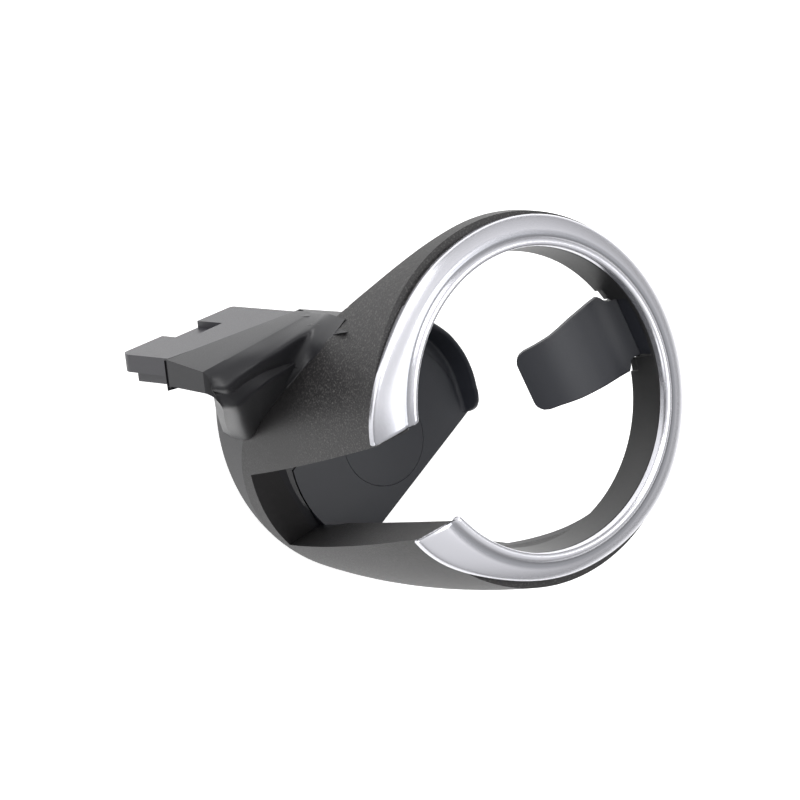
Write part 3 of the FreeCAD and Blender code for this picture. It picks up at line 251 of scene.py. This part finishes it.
def soften(obj, width, angle=28.0, segments=2):
    """Rounds the moulded edges of a node by a small radius, with smooth shading."""
    weld = obj.modifiers.new("weld", "WELD")
    weld.merge_threshold = 0.000001
    bevel = obj.modifiers.new("edges", "BEVEL")
    bevel.limit_method = "ANGLE"
    bevel.angle_limit = math.radians(angle)
    bevel.width = width * MM
    bevel.segments = segments
    bevel.use_clamp_overlap = True
    normals = obj.modifiers.new("normals", "WEIGHTED_NORMAL")
    normals.keep_sharp = False
    normals.weight = 80


EDGE_RADII = {
    "front_shell": 0.35,
    "rear_shell": 0.4,
    "bore_liner": 0.15,
    "floor_plate": 0.4,
    "floor_pad": 0.12,
    "cup_flap": 0.3,
    "plug_cover": 0.35,
    "plug_base": 0.3,
}


def dress_nodes():
    """Gives each node its material, and rounds the edges of the moulded ones."""
    for name, obj in frame["nodes"].items():
        obj.data.materials.clear()
        obj.data.materials.append(MATERIALS[slot_of[name]])
        if name in EDGE_RADII:
            soften(obj, EDGE_RADII[name])


def mesh_piece(name, points, faces, slot, body, replaces=()):
    """A mesh object in millimetres that rides on a body."""
    mesh = bpy.data.meshes.new(name)
    mesh.from_pydata([Vector(point) * MM for point in points], [], faces)
    mesh.update()
    obj = bpy.data.objects.new(name, mesh)
    bpy.context.collection.objects.link(obj)
    mesh.materials.append(MATERIALS[slot])
    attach(obj, body)
    if replaces:
        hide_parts(*replaces)
    return obj


# The trim ring is swept round its axis. Its outer edge flares out towards the handle slot.
TRIM_INNER = (
    (39.25, 76.9),
    (39.2, 78.4),
    (39.24, 78.95),
    (39.42, 79.35),
    (39.75, 79.6),
    (40.2, 79.7),
    (40.7, 79.62),
    (41.15, 79.35),
    (41.5, 78.98),
    (41.8, 78.7),
    (42.15, 78.55),
    (42.6, 78.52),
)
TRIM_BAND = (
    (0.08, 78.52),
    (0.25, 78.28),
    (0.45, 77.88),
    (0.65, 77.38),
    (0.82, 76.86),
    (0.91, 76.5),
    (0.965, 76.12),
    (0.99, 75.7),
    (1.0, 75.2),
    (1.0, 74.3),
)
TRIM_UNDER = ((-1.1, 74.3), (-1.1, 75.2), (-2.6, 76.2))
TRIM_UNDER_INNER = ((42.4, 77.3), (40.6, 78.2), (40.5, 76.9))
SLOT_TOP_HIGH = 14.0
SLOT_TOP_LOW = -12.3
BAND_START = 42.6


def rim_radius(azimuth):
    """The outer radius of the trim at an azimuth in degrees: widest at the slot."""
    off_slot = abs((azimuth - 180 + 180) % 360 - 180)
    flare = 4.6 * math.exp(-(((off_slot - 14) / 24) ** 2))
    far = min(max((off_slot - 80) / 50, 0), 1)
    return 46.5 + flare + 1.4 * far * far * (3 - 2 * far)


def trim_section(azimuth):
    """The trim's outline at an azimuth, as pairs of radius and height."""
    rim = rim_radius(azimuth)
    band = rim - BAND_START
    outline = list(TRIM_INNER)
    outline += [(BAND_START + band * share, height) for share, height in TRIM_BAND]
    outline += [(rim + inset, height) for inset, height in TRIM_UNDER]
    outline += list(TRIM_UNDER_INNER)
    return outline


def make_trim():
    steps = 240
    count = len(trim_section(0))
    points = []
    for step in range(steps + 1):
        share = step / steps
        for number in range(count):
            middle = 180 - 360 * share
            radius = trim_section(middle + 180)[number][0]
            azimuth = None
            for _ in range(3):
                start = 180 - math.degrees(math.asin(SLOT_TOP_HIGH / radius))
                end = math.degrees(math.asin(-SLOT_TOP_LOW / radius)) - 180
                azimuth = start + (end - start) * share
                radius, height = trim_section(azimuth)[number]
            points.append(
                (
                    radius * math.cos(math.radians(azimuth)),
                    radius * math.sin(math.radians(azimuth)),
                    height,
                )
            )
    faces = []
    for step in range(steps):
        for number in range(count):
            follow = (number + 1) % count
            here = step * count
            after = here + count
            faces.append((here + number, here + follow, after + follow, after + number))
    faces.append(tuple(reversed(range(count))))
    faces.append(tuple(range(steps * count, (steps + 1) * count)))
    trim = mesh_piece("trim_ring_swept", points, faces, "silver", "holder", ("trim_ring",))
    fix_normals(trim)
    trim.data.shade_smooth()
    chamfer_ends(trim, (0, steps * count), count)
    trim.data.set_sharp_from_angle(angle=math.radians(40))
    return trim


def fix_normals(obj):
    edit = bmesh.new()
    edit.from_mesh(obj.data)
    bmesh.ops.recalc_face_normals(edit, faces=edit.faces)
    edit.to_mesh(obj.data)
    edit.free()


def chamfer_ends(obj, starts, count):
    """Chamfers the two flat ends of the swept ring."""
    edit = bmesh.new()
    edit.from_mesh(obj.data)
    edit.verts.ensure_lookup_table()
    rims = [{start + number for number in range(count)} for start in starts]
    edges = [
        edge
        for edge in edit.edges
        if any(edge.verts[0].index in rim and edge.verts[1].index in rim for rim in rims)
    ]
    bmesh.ops.bevel(
        edit,
        geom=edges,
        offset=0.55 * MM,
        segments=2,
        profile=0.5,
        affect="EDGES",
        clamp_overlap=True,
    )
    edit.to_mesh(obj.data)
    edit.free()


def edit_of(node):
    """A welded copy of a node's mesh, open for editing."""
    edit = bmesh.new()
    edit.from_mesh(frame["nodes"][node].data)
    bmesh.ops.remove_doubles(edit, verts=edit.verts, dist=0.000001)
    return edit


def add_shape(edit, points, faces):
    """Adds a shape in millimetres to a mesh that is being edited."""
    made = [edit.verts.new(Vector(point) * MM) for point in points]
    added = [edit.faces.new([made[number] for number in face]) for face in faces]
    bmesh.ops.recalc_face_normals(edit, faces=added)


def finish_edit(name, edit, slot, body, replaces, width, angle=28.0):
    """Makes an edited mesh a piece that stands for a node."""
    obj = mesh_piece(name, (), (), slot, body, (replaces,))
    edit.to_mesh(obj.data)
    edit.free()
    obj.data.shade_smooth()
    soften(obj, width, angle)
    return obj


def swept(loops, closed=False):
    """Points and faces of a solid through loops with the same count of points, with flat ends."""
    count = len(loops[0])
    points = [point for loop in loops for point in loop]
    faces = []
    for step in range(len(loops) - 1):
        for number in range(count):
            follow = (number + 1) % count
            here = step * count
            faces.append((here + number, here + follow, here + count + follow, here + count + number))
    faces.append(tuple(range(count)))
    last = (len(loops) - 1) * count
    faces.append(tuple(reversed(range(last, last + count))))
    return points, faces


def between(pairs, at):
    """A smooth value from pairs of place and value."""
    if at <= pairs[0][0]:
        return pairs[0][1]
    for (start, low), (end, high) in zip(pairs, pairs[1:]):
        if at <= end:
            return low + (high - low) * (at - start) / (end - start)
    return pairs[-1][1]


def curve_through(knots, share):
    """A point on a smooth curve through knots, which are evenly spaced in share."""
    last = len(knots) - 1
    place = min(max(share, 0.0), 1.0) * last
    start = min(int(place), last - 1)
    t = place - start
    a, b, c, d = (Vector(knots[min(max(start + step, 0), last)]) for step in (-1, 0, 1, 2))
    return 0.5 * (2 * b + (c - a) * t + (2 * a - 5 * b + 4 * c - d) * t * t + (3 * b - a - 3 * c + d) * t * t * t)


def make_liner():
    """The sleeve, with a thin wall behind the room that it leaves for the flap."""
    edit = edit_of("bore_liner")
    for side in (-1, 1):
        loops = []
        for step in range(13):
            azimuth = math.radians(1.0 + side * (13.15 + (19.4 - 13.15) * step / 12))
            loops.append(
                [
                    (radius * math.cos(azimuth), radius * math.sin(azimuth), height)
                    for radius, height in ((39.45, 65.85), (40.3, 65.85), (40.3, 69.3), (39.45, 69.3))
                ]
            )
        add_shape(edit, *swept(loops))
    finish_edit("bore_liner_closed", edit, "liner", "holder", "bore_liner", EDGE_RADII["bore_liner"])


# The flap is one curved plate. Its middle line is given across and up, its edges by the distance along it.
FLAP_LINE = (
    (39.4, 70.2),
    (37.6, 68.2),
    (34.5, 67.15),
    (30.0, 67.0),
    (25.0, 66.95),
    (20.0, 66.5),
    (15.5, 65.3),
    (11.5, 63.3),
    (8.2, 60.9),
    (5.5, 58.4),
)
FLAP_LEFT = ((0, 8.6), (2.9, 8.6), (3.6, 9.4), (4.5, 11.2), (9.4, 10.75), (15, 10.25), (22.7, 9.1), (27.4, 8.8), (34.3, 8.5))
FLAP_RIGHT = ((0, 8.6), (2.9, 8.6), (3.6, 9.6), (4.5, 11.75), (13.4, 11.2), (22, 10.3), (28, 9.3), (34.3, 8.7))
FLAP_END = 34.35
FLAP_CORNER = 3.2
FLAP_THICK = 1.7


def flap_middle(along):
    """The point and the tangent of the flap's middle line at a distance along it."""
    walked = 0.0
    knots = [(x, z) for x, z in FLAP_LINE]
    fine = 12
    last = len(knots) - 1
    before = Vector((*knots[0], 0))
    for step in range(1, last * fine + 1):
        point = curve_through([(x, z, 0) for x, z in knots], step / (last * fine))
        length = (point - before).length
        if walked + length >= along:
            direction = (point - before).normalized()
            return before + direction * (along - walked), direction
        walked += length
        before = point
    return before, (point - before).normalized()


def make_flap():
    """The flap's hinge end as it is, with a smooth curved plate in place of the bent one."""
    edit = edit_of("cup_flap")
    plate = [vert for vert in edit.verts if vert.co.x < 38.2 * MM]
    bmesh.ops.delete(edit, geom=plate, context="VERTS")
    rows = 46
    columns = 20
    turn = math.radians(1.0)
    top = []
    under = []
    for row in range(rows + 1):
        upper_row = []
        lower_row = []
        for column in range(columns + 1):
            across = -1 + 2 * column / columns
            across = math.copysign(1 - (1 - abs(across)) ** 1.35, across)
            side = FLAP_LEFT if across > 0 else FLAP_RIGHT
            limit = between(side, FLAP_END)
            inset = max(abs(across) * limit - (limit - FLAP_CORNER), 0)
            end = FLAP_END - FLAP_CORNER + math.sqrt(max(FLAP_CORNER ** 2 - inset ** 2, 0))
            share = 1 - (1 - row / rows) ** 1.12
            along = 0.35 + (end - 0.35) * share
            offset = across * between(side, along)
            middle, direction = flap_middle(along)
            normal = Vector((-direction.y, direction.x, 0))
            if normal.y < 0:
                normal = -normal
            for target, lift in ((upper_row, 0.0), (lower_row, -FLAP_THICK)):
                x = middle.x + normal.x * lift
                z = middle.y + normal.y * lift
                target.append(
                    (x * math.cos(turn) - offset * math.sin(turn), x * math.sin(turn) + offset * math.cos(turn), z)
                )
        top.append(upper_row)
        under.append(lower_row)
    points = [point for row in top for point in row] + [point for row in under for point in row]
    wide = columns + 1
    below = wide * (rows + 1)
    faces = []
    for row in range(rows):
        for column in range(columns):
            a = row * wide + column
            faces.append((a, a + 1, a + wide + 1, a + wide))
            faces.append((below + a, below + a + wide, below + a + wide + 1, below + a + 1))
    ring = list(range(wide))
    ring += [row * wide + columns for row in range(1, rows + 1)]
    ring += [rows * wide + column for column in range(columns - 1, -1, -1)]
    ring += [row * wide for row in range(rows - 1, 0, -1)]
    for here, after in zip(ring, ring[1:] + ring[:1]):
        faces.append((here, below + here, below + after, after))
    add_shape(edit, points, faces)
    finish_edit("cup_flap_curved", edit, "floor", "flap", "cup_flap", 0.42, 40.0)


# The floor's upturned end, by the direction from the floor's centre: foot radius and rim height
LIP_FOOT = ((-14, 29.5), (0, 30.0), (8, 30.9), (16, 31.8), (24, 32.6), (31, 33.3), (50, 34.2))
LIP_RIM = ((-13.4, 1.6), (-12.4, 3.2), (-11, 4.6), (-8, 6.0), (-3, 7.0), (8, 7.8), (20, 8.4), (50, 9.0))
FLOOR_CENTRE = (-6.0, -10.0)


def make_floor_plate():
    """The floor with a taller, rounded end that swells outwards."""
    edit = edit_of("floor_plate")
    old_lip = [vert for vert in edit.verts if vert.co.z > 0.3 * MM]
    bmesh.ops.delete(edit, geom=old_lip, context="VERTS")
    loops = []
    for step in range(61):
        degrees = -13.4 + (49.4 + 13.4) * step / 60
        azimuth = math.radians(degrees)
        foot = between(LIP_FOOT, degrees)
        rim = between(LIP_RIM, degrees)
        section = (
            (29.3, 0.0),
            (foot - 0.9, 0.0),
            (foot - 0.35, 0.12),
            (foot, 0.5),
            (foot + 0.25, rim * 0.3 + 0.2),
            (foot + 0.6, rim * 0.7),
            (foot + 0.95, rim * 0.93),
            (foot + 1.45, rim),
            (foot + 2.0, rim * 0.98),
            (foot + 2.4, rim * 0.9),
            (foot + 2.45, rim * 0.72),
            (foot + 2.1, rim * 0.3),
            (foot + 1.8, -0.6),
            (foot + 1.5, -2.3),
            (foot + 1.1, -2.56),
            (29.3, -2.56),
        )
        loops.append(
            [
                (
                    FLOOR_CENTRE[0] + radius * math.cos(azimuth),
                    FLOOR_CENTRE[1] + radius * math.sin(azimuth),
                    height,
                )
                for radius, height in section
            ]
        )
    add_shape(edit, *swept(loops))
    finish_edit("floor_plate_curved", edit, "floor", "holder", "floor_plate", EDGE_RADII["floor_plate"])


# The neck's upper face is one smooth hollow surface. Its edges are given in millimetres:
# along the blade, along the ridge, down the near side, along the spine's far side and along the sweep.
NECK_BLADE = ((-73.3, 51.8, 42.46), (-29.6, 43.25, 31.5))
NECK_RIDGE = ((-70.06, 46.44, 51.65), (-28.2, 41.8, 36.6))
NECK_NEAR = (
    (-70.06, 46.44, 51.65),
    (-69.8, 44.9, 52.5),
    (-70.0, 43.16, 52.4),
    (-69.9, 41.0, 51.2),
    (-67.4, 37.9, 44.6),
    (-62.8, 31.69, 31.54),
    (-57.6, 25.4, 18.0),
    (-52.4, 19.4, 5.0),
    (-48.2, 16.4, -5.3),
)
NECK_FAR = ((-28.2, 41.8, 36.6), (-28.9, 41.6, 42.5), (-30.1, 41.6, 48.8), (-31.1, 40.3, 56.9))
NECK_SWEEP = (
    (-48.2, 16.4, -5.3),
    (-49.42, 15.63, 7.92),
    (-47.88, 20.52, 17.6),
    (-45.64, 25.12, 27.85),
    (-43.89, 27.72, 35.65),
    (-40.65, 31.75, 43.2),
    (-37.1, 35.21, 50.05),
    (-31.1, 40.3, 56.9),
)
PLUG_ACROSS = Vector((0.901, -0.152, -0.407))
PLUG_UP = Vector((0.257, 0.942, 0.217))
PLUG_IN = Vector((0.350, -0.300, 0.887))
PLUG_TIP = Vector((-56.9, 52.5, 20.0))


def neck_grid(columns, rows, ridge_rows):
    """The neck's upper face: rows from the blade over the ridge down to the sweep, in millimetres."""
    away = -CAMERA_BACK
    grid = []
    for column in range(columns + 1):
        u = column / columns
        blade = curve_through(NECK_BLADE, u)
        ridge = curve_through(NECK_RIDGE, u)
        line = []
        for row in range(ridge_rows):
            line.append(blade.lerp(ridge, row / ridge_rows))
        low = curve_through(NECK_SWEEP, u)
        corners = (Vector(NECK_RIDGE[0]), Vector(NECK_RIDGE[1]), Vector(NECK_SWEEP[0]), Vector(NECK_SWEEP[-1]))
        for row in range(rows + 1):
            v = row / rows
            near = curve_through(NECK_NEAR, v) - corners[0] * (1 - v) - corners[2] * v
            far = curve_through(NECK_FAR, v) - corners[1] * (1 - v) - corners[3] * v
            dip = 0.9 * (4 * u * (1 - u)) ** 0.7 * 4 * v * (1 - v)
            line.append(ridge * (1 - v) + low * v + near * (1 - u) + far * u + away * dip)
        grid.append(line)
    return grid


def neck_room(point, tree, eye, on_shell):
    """Where a point of the neck goes so that it lies behind the new face."""
    reach = (point - eye).length
    sight = (point - eye) / reach
    place, _, _, distance = tree.ray_cast(eye, sight)
    if place is not None:
        if reach < distance + (-0.8 if on_shell else 0.6) * MM:
            return eye + sight * (distance + 0.6 * MM)
        return point
    if on_shell:
        return point
    nearest = tree.find_nearest(point)[0]
    if (nearest - point).dot(CAMERA_RIGHT) > 0.0003:
        return nearest + sight * 0.001 + CAMERA_RIGHT * 0.0008
    if (point - nearest).dot(CAMERA_BACK) > -0.0008:
        wall = 50.6 * MM + (56.8 * MM - point.z) * 0.075
        inside = min(wall / math.hypot(point.x, point.y), 1.0)
        return Vector((point.x * inside, point.y * inside, point.z))
    return point


def stands_proud(face, tree, eye):
    """Whether a face of the neck still shows in front of, or to the left of, the new face."""
    corners = [vert.co for vert in face.verts]
    middle = face.calc_center_median()
    if middle.z < -6 * MM or max(math.hypot(corner.x, corner.y) for corner in corners) < 51.3 * MM:
        return False
    offset = middle / MM - PLUG_TIP
    across = (offset.dot(PLUG_ACROSS) + 23.8) / 45
    if offset.dot(PLUG_UP) > -9 and offset.dot(PLUG_IN) < 15.2 + 8 * across + 0.2:
        return offset.dot(PLUG_IN) > 15.2 + 8 * across - 0.2 and offset.dot(PLUG_UP) > 0.8 * across - 0.6
    tests = [middle]
    for start, end in zip(corners, corners[1:] + corners[:1]):
        tests.append((start + end) / 2 * 0.9 + middle * 0.1)
        tests.append(start * 0.8 + middle * 0.2)
    for point in tests:
        reach = (point - eye).length
        sight = (point - eye) / reach
        place, _, _, distance = tree.ray_cast(eye, sight)
        if place is not None and reach < distance - 0.05 * MM:
            return True
        if place is None:
            nearest = tree.find_nearest(point)[0]
            beside = (nearest - point).dot(CAMERA_RIGHT) > 0.4 * MM
            if beside and math.hypot(middle.x, middle.y) > 53.5 * MM:
                return True
    return False


def make_rear_shell():
    """The rear shell with the neck's faceted upper face turned into one smooth hollow face."""
    edit = edit_of("rear_shell")
    columns = 40
    rows = 36
    ridge_rows = 6
    grid = neck_grid(columns, rows, ridge_rows)
    length = len(grid[0])
    points = [point for line in grid for point in line]
    faces = []
    for column in range(columns):
        for row in range(length - 1):
            a = column * length + row
            faces.append((a, a + length, a + length + 1, a + 1))
    tree = BVHTree.FromPolygons([point * MM for point in points], faces)
    eye = CAMERA_AT
    for vert in edit.verts:
        out = math.hypot(vert.co.x, vert.co.y) / MM
        if out < 49.5 or vert.co.z < -4 * MM:
            continue
        offset = vert.co / MM - PLUG_TIP
        across = (offset.dot(PLUG_ACROSS) + 23.8) / 45
        if offset.dot(PLUG_UP) > -9 and offset.dot(PLUG_IN) < 15.2 + 8 * across + 0.7:
            rise = offset.dot(PLUG_UP) - 0.8 * across + 0.3
            if rise > 0:
                vert.co -= PLUG_UP * rise * MM
            continue
        vert.co = neck_room(vert.co, tree, eye, out < 52.3)
    proud = [face for face in edit.faces if stands_proud(face, tree, eye)]
    bmesh.ops.delete(edit, geom=proud, context="FACES")
    count = len(points)
    for column in range(columns + 1):
        for row in range(length):
            share = min(row / ridge_rows, 1.0)
            fade = min(max((row - ridge_rows) / rows, 0.0), 1.0)
            down = -PLUG_UP * (6.9 - 1.4 * share) * (1 - fade) ** 0.5
            inward = (CAMERA_RIGHT * 1.5 - CAMERA_BACK * 5.0) * min(fade * 3, 1.0)
            points.append(grid[column][row] + down + inward)
    for column in range(columns):
        for row in range(length - 1):
            a = count + column * length + row
            faces.append((a, a + 1, a + length + 1, a + length))
    ring = list(range(length))
    ring += [column * length + length - 1 for column in range(1, columns + 1)]
    ring += [columns * length + row for row in range(length - 2, -1, -1)]
    ring += [column * length for column in range(columns - 1, 0, -1)]
    for here, after in zip(ring, ring[1:] + ring[:1]):
        faces.append((here, count + here, count + after, after))
    add_shape(edit, points, faces)
    finish_edit("rear_shell_smooth", edit, "smooth", "holder", "rear_shell", EDGE_RADII["rear_shell"])


# Camera, lights and floor

def set_camera():
    data = bpy.data.cameras.new("photo_camera")
    data.lens = 81.0
    data.sensor_width = 36.0
    data.clip_start = 0.01
    camera = bpy.data.objects.new("photo_camera", data)
    turn = Matrix((CAMERA_RIGHT, CAMERA_UP, CAMERA_BACK)).transposed().to_4x4()
    camera.matrix_world = Matrix.Translation(CAMERA_AT) @ turn
    bpy.context.collection.objects.link(camera)
    bpy.context.scene.camera = camera


def camera_point(right, up, back):
    """A place given from the object's middle along the camera's own directions."""
    middle = Vector((-6, 2, 36)) * MM
    return middle + CAMERA_RIGHT * right + CAMERA_UP * up + CAMERA_BACK * back


def soft_light(name, at, width, power):
    data = bpy.data.lights.new(name, "AREA")
    data.shape = "SQUARE"
    data.size = width
    data.energy = power
    lamp = bpy.data.objects.new(name, data)
    lamp.location = at
    aim = Vector((0, 0, 40)) * MM - at
    lamp.rotation_euler = aim.to_track_quat("-Z", "Y").to_euler()
    bpy.context.collection.objects.link(lamp)


def set_lights():
    soft_light("key", camera_point(-0.25, 0.5, 0.5), 0.45, 3.8)
    soft_light("fill", camera_point(0.5, 0.1, 0.5), 0.4, 2.0)
    soft_light("low", camera_point(-0.45, -0.35, 0.3), 0.35, 1.0)
    world = bpy.data.worlds.new("studio")
    world.use_nodes = True
    tree = world.node_tree
    background = tree.nodes["Background"]
    background.inputs["Color"].default_value = (1, 1, 1, 1)
    path = add(tree, "ShaderNodeLightPath")
    aim = add(tree, "ShaderNodeSeparateXYZ")
    link(tree, add(tree, "ShaderNodeTexCoord").outputs["Generated"], aim.inputs[0])
    mirrored = spread(tree, aim.outputs["Z"], 0.25, 0.95, 0.05, 0.75)
    lit = add(tree, "ShaderNodeMix", data_type="FLOAT")
    lit.inputs["A"].default_value = 0.5
    link(tree, path.outputs["Is Glossy Ray"], lit.inputs["Factor"])
    link(tree, mirrored, lit.inputs["B"])
    seen = add(tree, "ShaderNodeMix", data_type="FLOAT")
    seen.inputs["B"].default_value = 1.0
    link(tree, path.outputs["Is Camera Ray"], seen.inputs["Factor"])
    link(tree, lit.outputs["Result"], seen.inputs["A"])
    link(tree, seen.outputs["Result"], background.inputs["Strength"])
    bpy.context.scene.world = world


def set_floor():
    """A white floor that keeps the object's shadow."""
    mesh = bpy.data.meshes.new("studio_floor")
    reach = 3.0
    corners = [(x * reach, y * reach, FLOOR_HEIGHT - 0.0002) for x, y in ((-1, -1), (1, -1), (1, 1), (-1, 1))]
    mesh.from_pydata(corners, [], [(0, 1, 2, 3)])
    floor = bpy.data.objects.new("studio_floor", mesh)
    bpy.context.collection.objects.link(floor)
    made = bpy.data.materials.new("white_floor")
    made.use_nodes = True
    tree = made.node_tree
    shader = tree.nodes["Principled BSDF"]
    shader.inputs["Base Color"].default_value = (0.9, 0.9, 0.9, 1)
    shader.inputs["Roughness"].default_value = 0.9
    shader.inputs["Specular IOR Level"].default_value = 0.0
    shader.inputs["Emission Color"].default_value = (1, 1, 1, 1)
    path = add(tree, "ShaderNodeLightPath")
    seen = add(tree, "ShaderNodeMath", operation="MAXIMUM")
    link(tree, path.outputs["Is Camera Ray"], seen.inputs[0])
    link(tree, path.outputs["Is Glossy Ray"], seen.inputs[1])
    link(tree, spread(tree, seen.outputs[0], 0.0, 0.75), shader.inputs["Emission Strength"])
    mesh.materials.append(made)


bpy.context.scene.view_settings.view_transform = "Standard"
set_camera()
set_lights()
set_floor()
dress_nodes()
make_trim()
make_liner()
make_flap()
make_floor_plate()
make_rear_shell()
